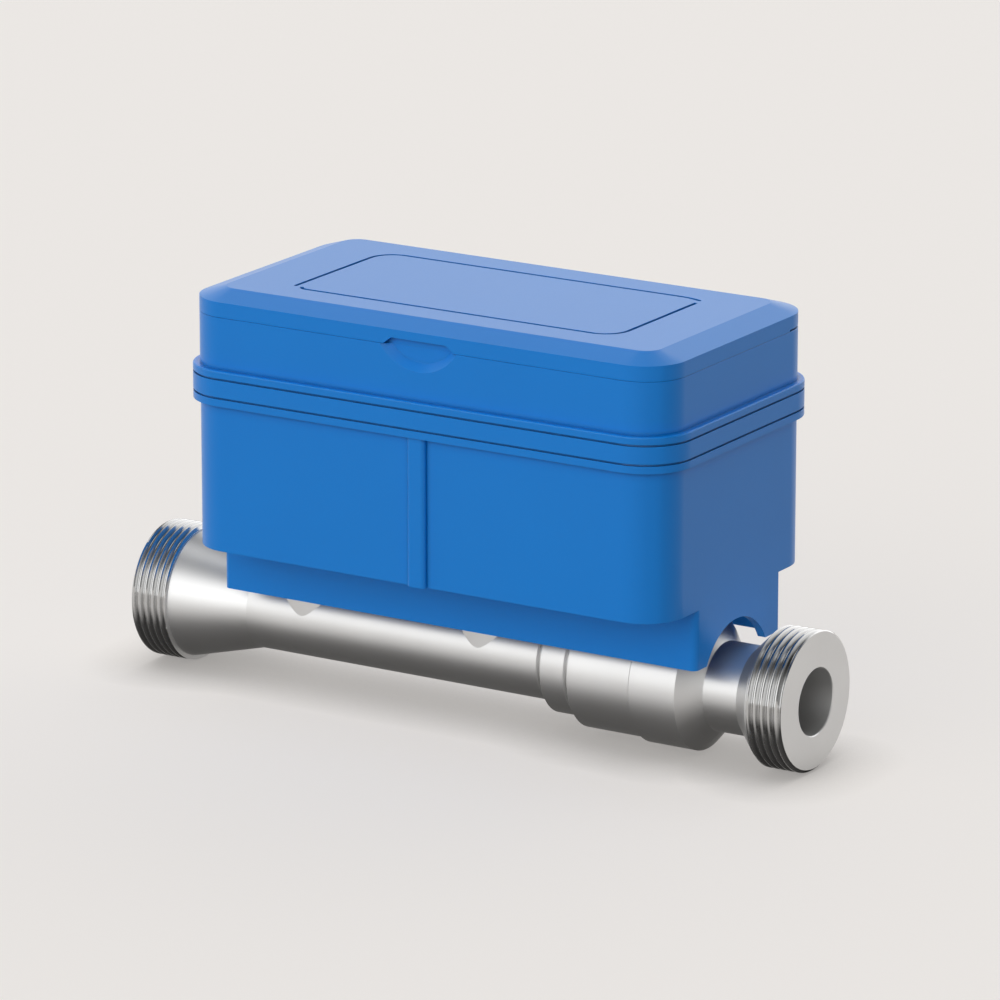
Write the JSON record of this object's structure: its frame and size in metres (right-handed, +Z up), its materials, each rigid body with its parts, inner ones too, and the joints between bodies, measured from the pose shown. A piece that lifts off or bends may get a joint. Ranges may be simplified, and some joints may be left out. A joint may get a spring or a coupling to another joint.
{
  "type": "water meter",
  "caption": "Ultrasonic water meter with threaded steel pipe ends, a motor ball valve and a blue plastic housing with a hinged lid over its display.",
  "frame": {"origin": "centre of the inlet end face, on the pipe axis", "axes": "+X along the pipe in the direction of flow, +Z up through the housing, -Y to the front with the thumb notch"},
  "size_m": [0.225, 0.0932, 0.128],
  "materials": {
    "steel": "machined stainless steel with fine turning marks",
    "blue": "satin moulded blue plastic",
    "rubber": "black rubber",
    "white": "white low-friction plastic",
    "black": "black moulded plastic",
    "brass": "turned brass",
    "chrome": "plated and polished ball",
    "zinc": "zinc plated steel",
    "board": "green coated board",
    "clear": "clear plastic window",
    "screen": "grey liquid crystal glass",
    "cell": "plastic sleeve on a lithium cell"
  },
  "bodies": {
    "meter": {"flow_tube": "steel", "lock_ring": "steel", "valve_sleeve": "steel", "outlet_body": "steel", "tube_seal": "rubber", "body_seal": "rubber", "inlet_seat": "white", "outlet_seat": "white", "lower_stem_seal": "rubber", "upper_stem_seal": "rubber", "gland_nut": "brass", "inlet_transducer": "black", "outlet_transducer": "black", "inlet_transducer_seal": "rubber", "outlet_transducer_seal": "rubber", "inlet_reflector": "steel", "outlet_reflector": "steel", "inlet_tower_gasket": "rubber", "outlet_tower_gasket": "rubber", "stem_gasket": "rubber", "floor_screws": "zinc", "lower_housing": "blue", "middle_frame": "blue", "upper_housing": "blue", "lower_gasket": "rubber", "upper_gasket": "rubber", "hinge_pin": "zinc", "window": "clear", "cover_screws": "zinc", "circuit_board": "board", "board_screws": "zinc", "display_holder": "black", "display": "screen", "processor_chip": "black", "radio_module": "zinc", "cell_connector": "black", "antenna": "brass", "cell_tray": "black", "front_cell": "cell", "rear_cell": "cell", "tray_screws": "zinc", "drive_plate": "zinc", "gearbox": "black", "motor": "zinc", "plate_screws": "zinc", "gearbox_screws": "zinc"},
    "valve": {"valve_ball": "chrome", "valve_stem": "steel", "stem_gear": "white", "gear_screw": "zinc"},
    "drive_pinion": {"pinion": "white"},
    "cover_lid": {"lid": "blue"}
  },
  "joints": [
    {"name": "lid_hinge", "type": "hinge", "parent": "meter", "child": "cover_lid", "pos_m": [0.1171, 0.04495, 0.1004], "axis": [-1, 0, 0], "range_deg": [0, 105]},
    {"name": "valve_turn", "type": "hinge", "parent": "meter", "child": "valve", "pos_m": [0.181, 0, 0], "axis": [0, 0, 1], "range_deg": [0, 90]},
    {"name": "pinion_turn", "type": "hinge", "parent": "meter", "child": "drive_pinion", "pos_m": [0.16275, 0, 0.039], "axis": [0, 0, 1], "range_deg": [-180, 0]}
  ],
  "couplings": [
    {"joint": "pinion_turn", "follows": "valve_turn", "ratio": -2}
  ]
}
